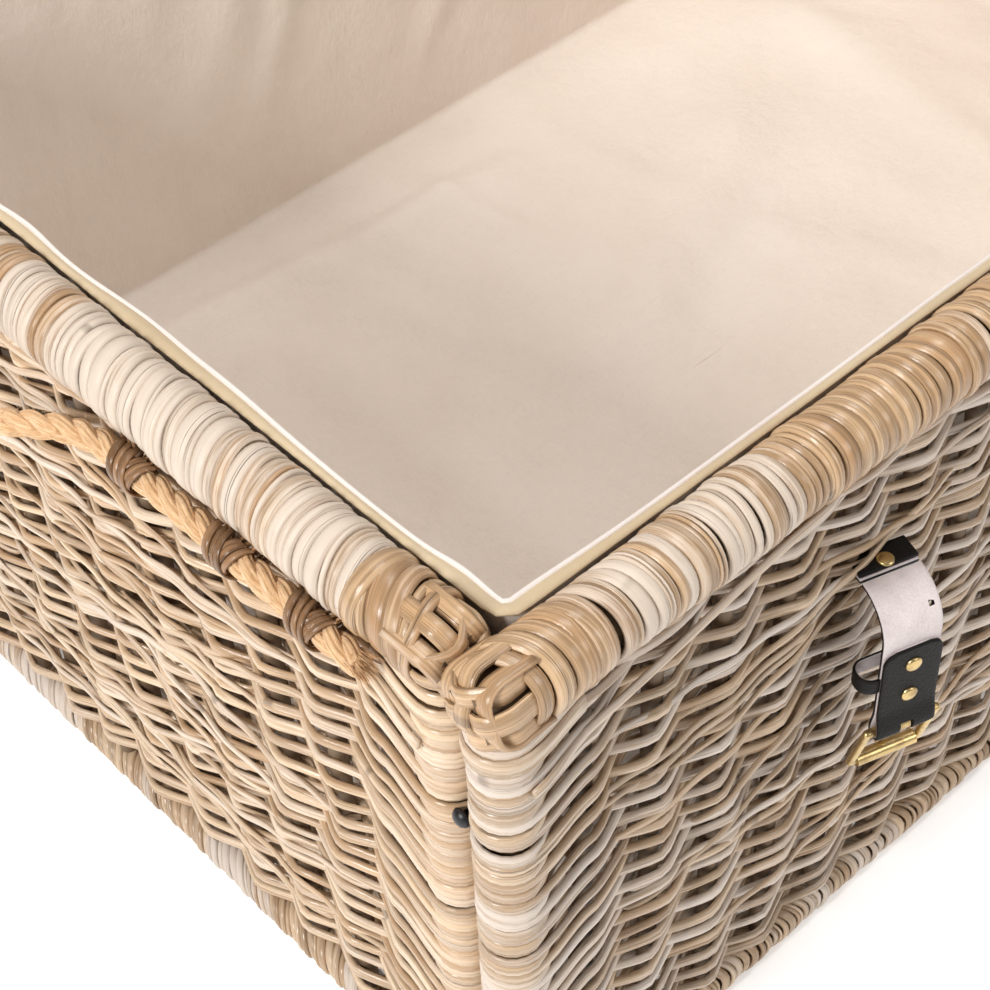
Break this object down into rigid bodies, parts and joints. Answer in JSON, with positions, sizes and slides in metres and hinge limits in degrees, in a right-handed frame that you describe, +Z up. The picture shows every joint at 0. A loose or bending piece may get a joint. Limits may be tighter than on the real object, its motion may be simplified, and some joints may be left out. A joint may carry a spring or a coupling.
{
  "type": "wicker storage trunk",
  "caption": "Woven cane storage trunk with a hinged lid, wrapped rims, rope handles, fabric liner and buckled leather straps.",
  "frame": {"origin": "on the floor under the middle of the trunk's body, on the underside of the middle floor batten", "axes": "+Z up, +X along the trunk's length, -Y towards the front wall that carries the buckle straps"},
  "size_m": [0.9798, 0.836, 1],
  "materials": {
    "cane_wrap": "satin",
    "cane_weave": "satin",
    "cane_stake": "matte",
    "pole_wood": "matte",
    "pine_wood": "matte",
    "linen": "matte",
    "jute_rope": "matte",
    "lashing_peel": "satin",
    "black_leather": "satin",
    "brass": "satin",
    "black_iron": "satin"
  },
  "bodies": {
    "trunk_body": {"long_rim_poles": "pole_wood", "short_rim_poles": "pole_wood", "corner_posts": "pole_wood", "front_rim_wrap": "cane_wrap", "back_rim_wrap": "cane_wrap", "left_rim_wrap": "cane_wrap", "right_rim_wrap": "cane_wrap", "front_stakes": "cane_stake", "back_stakes": "cane_stake", "left_stakes": "cane_stake", "right_stakes": "cane_stake", "front_weave": "cane_weave", "back_weave": "cane_weave", "left_weave": "cane_weave", "right_weave": "cane_weave", "front_base_rail": "cane_wrap", "back_base_rail": "cane_wrap", "left_base_rail": "cane_wrap", "right_base_rail": "cane_wrap", "corner_bolts": "black_iron", "floor_panel": "cane_weave", "floor_battens": "pine_wood", "liner": "linen", "left_rope_tails": "jute_rope", "right_rope_tails": "jute_rope", "left_lashings": "lashing_peel", "right_lashings": "lashing_peel", "left_strap_root": "black_leather", "right_strap_root": "black_leather", "root_rivets": "brass", "hinge_body_leaves": "brass", "hinge_pins": "brass"},
    "lid": {"lid_rim_poles": "pole_wood", "lid_rim_wraps": "cane_wrap", "lid_stakes": "cane_stake", "lid_weave": "cane_weave", "lid_lining": "linen", "hinge_lid_leaves": "brass", "lid_strap_tabs": "black_leather", "lid_tab_rivets": "brass"},
    "left_rope": {"left_rope_loop": "jute_rope"},
    "left_strap": {"left_buckle_strap": "black_leather", "left_keeper": "black_leather", "left_strap_rivets": "brass"},
    "left_buckle": {"left_buckle_frame": "brass"},
    "left_prong_body": {"left_prong": "brass"},
    "left_roller_body": {"left_roller": "brass"},
    "left_lid_strap_body": {"left_lid_strap": "black_leather"},
    "right_rope": {"right_rope_loop": "jute_rope"},
    "right_strap": {"right_buckle_strap": "black_leather", "right_keeper": "black_leather", "right_strap_rivets": "brass"},
    "right_buckle": {"right_buckle_frame": "brass"},
    "right_prong_body": {"right_prong": "brass"},
    "right_roller_body": {"right_roller": "brass"},
    "right_lid_strap_body": {"right_lid_strap": "black_leather"}
  },
  "joints": [
    {"name": "lid_hinge", "type": "hinge", "parent": "trunk_body", "child": "lid", "pos_m": [0, 0.3285, 0.3603], "axis": [1, 0, 0], "range_deg": [0, 100]},
    {"name": "left_rope_swing", "type": "hinge", "parent": "trunk_body", "child": "left_rope", "pos_m": [-0.45085, 0, 0.32315], "axis": [0, 1, 0], "range_deg": [-70, 30]},
    {"name": "left_strap_flex", "type": "hinge", "parent": "trunk_body", "child": "left_strap", "pos_m": [-0.229, -0.324, 0.259], "axis": [0.9511, -0.309, 0], "range_deg": [-100, 0]},
    {"name": "left_buckle_tilt", "type": "hinge", "parent": "left_strap", "child": "left_buckle", "pos_m": [-0.23555, -0.34416, 0.183], "axis": [-0.9511, 0.309, 0], "range_deg": [-10, 20]},
    {"name": "left_prong_swing", "type": "hinge", "parent": "left_buckle", "child": "left_prong_body", "pos_m": [-0.23555, -0.34416, 0.183], "axis": [0.9511, -0.309, 0], "range_deg": [0, 28]},
    {"name": "left_roller_spin", "type": "hinge", "parent": "left_buckle", "child": "left_roller_body", "pos_m": [-0.23266, -0.33526, 0.1524], "axis": [0.9511, -0.309, 0], "continuous": true},
    {"name": "left_lid_strap_flex", "type": "hinge", "parent": "lid", "child": "left_lid_strap_body", "pos_m": [-0.229, 0.48193, 0.98972], "axis": [1, 0, 0], "range_deg": [-4, 235]},
    {"name": "right_rope_swing", "type": "hinge", "parent": "trunk_body", "child": "right_rope", "pos_m": [0.45085, 0, 0.32315], "axis": [0, -1, 0], "range_deg": [-70, 30]},
    {"name": "right_strap_flex", "type": "hinge", "parent": "trunk_body", "child": "right_strap", "pos_m": [0.229, -0.324, 0.259], "axis": [0.9511, 0.309, 0], "range_deg": [-100, 0]},
    {"name": "right_buckle_tilt", "type": "hinge", "parent": "right_strap", "child": "right_buckle", "pos_m": [0.23555, -0.34416, 0.183], "axis": [-0.9511, -0.309, 0], "range_deg": [-10, 20]},
    {"name": "right_prong_swing", "type": "hinge", "parent": "right_buckle", "child": "right_prong_body", "pos_m": [0.23555, -0.34416, 0.183], "axis": [0.9511, 0.309, 0], "range_deg": [0, 28]},
    {"name": "right_roller_spin", "type": "hinge", "parent": "right_buckle", "child": "right_roller_body", "pos_m": [0.23266, -0.33526, 0.1524], "axis": [0.9511, 0.309, 0], "continuous": true},
    {"name": "right_lid_strap_flex", "type": "hinge", "parent": "lid", "child": "right_lid_strap_body", "pos_m": [0.229, 0.48193, 0.98972], "axis": [1, 0, 0], "range_deg": [-4, 235]}
  ]
}
